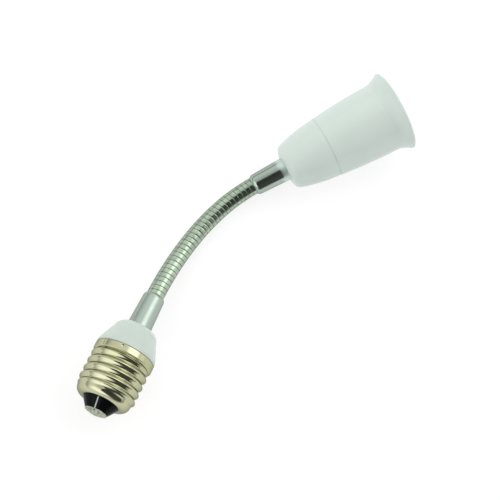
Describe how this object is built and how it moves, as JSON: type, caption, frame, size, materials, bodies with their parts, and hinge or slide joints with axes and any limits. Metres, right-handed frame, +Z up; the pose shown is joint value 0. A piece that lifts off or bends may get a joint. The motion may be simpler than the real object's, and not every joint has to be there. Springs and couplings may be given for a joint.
{
  "type": "lamp socket adapter",
  "caption": "Flexible extension for a screw-cap lamp: a threaded cap at one end, a bendable ribbed metal gooseneck, and a flared white lamp socket at the other, lying down.",
  "frame": {"origin": "middle of the bottom of its box, on the floor that it lies on", "axes": "+Z up from the floor; +X along its length as it lies, from the screw cap to the socket"},
  "size_m": [0.1984, 0.0472, 0.0409],
  "materials": {
    "white_plastic": "satin moulded thermoplastic",
    "insulator_black": "glossy black",
    "shell_nickel": "nickel-plated brass sheet",
    "contact_nickel": "nickel-plated brass",
    "ferrule_steel": "polished nickel-plated steel",
    "neck_steel": "nickel-plated wound steel wire",
    "nut_steel": "zinc-plated steel",
    "insert_plastic": "cream heat-resistant plastic",
    "spring_brass": "spring brass",
    "live_insulation": "brown lead insulation",
    "neutral_insulation": "blue lead insulation"
  },
  "bodies": {
    "cap": {"screw_shell": "shell_nickel", "tip_insulator": "insulator_black", "tip_contact": "contact_nickel", "base_housing": "white_plastic", "lower_lock_nut": "nut_steel", "lower_ferrule": "ferrule_steel", "base_live_lead": "live_insulation", "base_neutral_lead": "neutral_insulation", "neck_root": "neck_steel"},
    "link_01": {"neck_link_01": "neck_steel"},
    "link_02": {"neck_link_02": "neck_steel"},
    "link_03": {"neck_link_03": "neck_steel"},
    "link_04": {"neck_link_04": "neck_steel"},
    "link_05": {"neck_link_05": "neck_steel"},
    "link_06": {"neck_link_06": "neck_steel"},
    "link_07": {"neck_link_07": "neck_steel"},
    "link_08": {"neck_link_08": "neck_steel"},
    "link_09": {"neck_link_09": "neck_steel"},
    "link_10": {"neck_link_10": "neck_steel"},
    "link_11": {"neck_link_11": "neck_steel"},
    "link_12": {"neck_link_12": "neck_steel"},
    "link_13": {"neck_link_13": "neck_steel"},
    "link_14": {"neck_link_14": "neck_steel"},
    "socket": {"neck_end": "neck_steel", "upper_ferrule": "ferrule_steel", "upper_lock_nut": "nut_steel", "rear_cover": "white_plastic", "front_body": "white_plastic", "socket_insert": "insert_plastic", "socket_shell": "contact_nickel", "centre_contact": "spring_brass", "contact_rivets": "spring_brass", "socket_live_lead": "live_insulation", "socket_neutral_lead": "neutral_insulation"}
  },
  "joints": [
    {"name": "neck_bend_1", "type": "hinge", "parent": "cap", "child": "link_01", "pos_m": [-0.03999, 0.01272, 0.00731], "axis": [0.0231, -0.5331, -0.8458], "range_deg": [-16.77, 9.23]},
    {"name": "neck_sway_1", "type": "hinge", "parent": "link_01", "child": "link_02", "pos_m": [-0.03568, 0.01395, 0.00665], "axis": [0.3063, -0.8015, 0.5136], "range_deg": [-13, 13]},
    {"name": "neck_bend_2", "type": "hinge", "parent": "link_02", "child": "link_03", "pos_m": [-0.03137, 0.01517, 0.006], "axis": [0.0231, -0.5331, -0.8458], "range_deg": [-16.69, 9.31]},
    {"name": "neck_sway_2", "type": "hinge", "parent": "link_03", "child": "link_04", "pos_m": [-0.02698, 0.01616, 0.00549], "axis": [0.2444, -0.8173, 0.5218], "range_deg": [-13, 13]},
    {"name": "neck_bend_3", "type": "hinge", "parent": "link_04", "child": "link_05", "pos_m": [-0.02259, 0.01716, 0.00499], "axis": [0.0231, -0.5331, -0.8458], "range_deg": [-16.94, 9.06]},
    {"name": "neck_sway_3", "type": "hinge", "parent": "link_05", "child": "link_06", "pos_m": [-0.01813, 0.01789, 0.00465], "axis": [0.1773, -0.8304, 0.5282], "range_deg": [-13, 13]},
    {"name": "neck_bend_4", "type": "hinge", "parent": "link_06", "child": "link_07", "pos_m": [-0.01368, 0.01862, 0.0043], "axis": [0.0231, -0.5331, -0.8458], "range_deg": [-17.5, 8.49]},
    {"name": "neck_sway_4", "type": "hinge", "parent": "link_07", "child": "link_08", "pos_m": [-0.00917, 0.01906, 0.00415], "axis": [0.0995, -0.8406, 0.5325], "range_deg": [-13, 13]},
    {"name": "neck_bend_5", "type": "hinge", "parent": "link_08", "child": "link_09", "pos_m": [-0.00466, 0.0195, 0.004], "axis": [0.0231, -0.5331, -0.8458], "range_deg": [-18.4, 7.6]},
    {"name": "neck_sway_5", "type": "hinge", "parent": "link_09", "child": "link_10", "pos_m": [-0.00014, 0.01958, 0.00408], "axis": [0.0055, -0.8459, 0.5333], "range_deg": [-13, 13]},
    {"name": "neck_bend_6", "type": "hinge", "parent": "link_10", "child": "link_11", "pos_m": [0.00439, 0.01965, 0.00415], "axis": [0.0231, -0.5331, -0.8458], "range_deg": [-19.61, 6.38]},
    {"name": "neck_sway_6", "type": "hinge", "parent": "link_11", "child": "link_12", "pos_m": [0.00889, 0.01929, 0.0045], "axis": [-0.1097, -0.8422, 0.5278], "range_deg": [-13, 13]},
    {"name": "neck_bend_7", "type": "hinge", "parent": "link_12", "child": "link_13", "pos_m": [0.01339, 0.01892, 0.00486], "axis": [0.0231, -0.5331, -0.8458], "range_deg": [-21.16, 4.84]},
    {"name": "neck_sway_7", "type": "hinge", "parent": "link_13", "child": "link_14", "pos_m": [0.01778, 0.01802, 0.00555], "axis": [-0.2496, -0.8223, 0.5114], "range_deg": [-13, 13]},
    {"name": "neck_bend_8", "type": "hinge", "parent": "link_14", "child": "socket", "pos_m": [0.02216, 0.01712, 0.00624], "axis": [0.0231, -0.5331, -0.8458], "range_deg": [-20.32, 5.67]}
  ]
}
